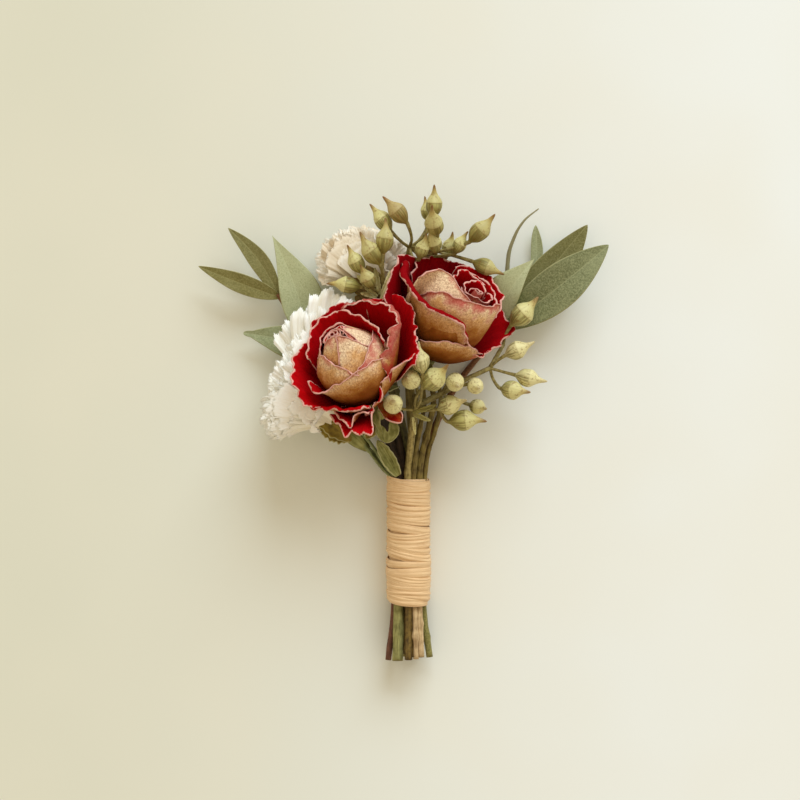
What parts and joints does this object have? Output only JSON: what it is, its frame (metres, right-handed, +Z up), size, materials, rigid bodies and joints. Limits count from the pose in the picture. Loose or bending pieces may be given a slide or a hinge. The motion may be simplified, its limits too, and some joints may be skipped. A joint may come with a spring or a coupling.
{
  "type": "dried flower bouquet",
  "caption": "Small dried bouquet of roses, pale carnations, beaked eucalyptus buds and leaves, its stems bound by a raffia wrap, lying flat.",
  "frame": {"origin": "middle of the bouquet's box in plan, on the surface it lies on", "axes": "+Z up from the surface, +Y from the cut stems towards the flowers, +X to the right as seen from above"},
  "size_m": [0.1421, 0.1642, 0.0492],
  "materials": {
    "rose_petal": "dry papery petals, matt, dark red inside and cream outside",
    "rose_stem": "dry ribbed cane, matt",
    "carnation_petal": "thin ruffled dry petals, matt, cream white",
    "carnation_stem": "dry smooth stem with joints, matt, pale green",
    "eucalyptus_bud": "woody buds with a raised rim, satin, olive yellow",
    "eucalyptus_leaf": "leathery dry leaves with a pale midrib, matt, grey green",
    "raffia": "fibrous straw bands, satin, peach beige"
  },
  "bodies": {
    "root": {"rose_front_petals": "rose_petal", "rose_rear_petals": "rose_petal", "rose_front_stem": "rose_stem", "rose_rear_stem": "rose_stem", "carnation_left_petals": "carnation_petal", "carnation_top_petals": "carnation_petal", "carnation_left_stem": "carnation_stem", "carnation_top_stem": "carnation_stem", "spray_front": "eucalyptus_bud", "spray_top": "eucalyptus_bud", "leaf_sprig_left": "eucalyptus_leaf", "leaf_sprig_right": "eucalyptus_leaf", "wrap": "raffia"}
  },
  "joints": []
}
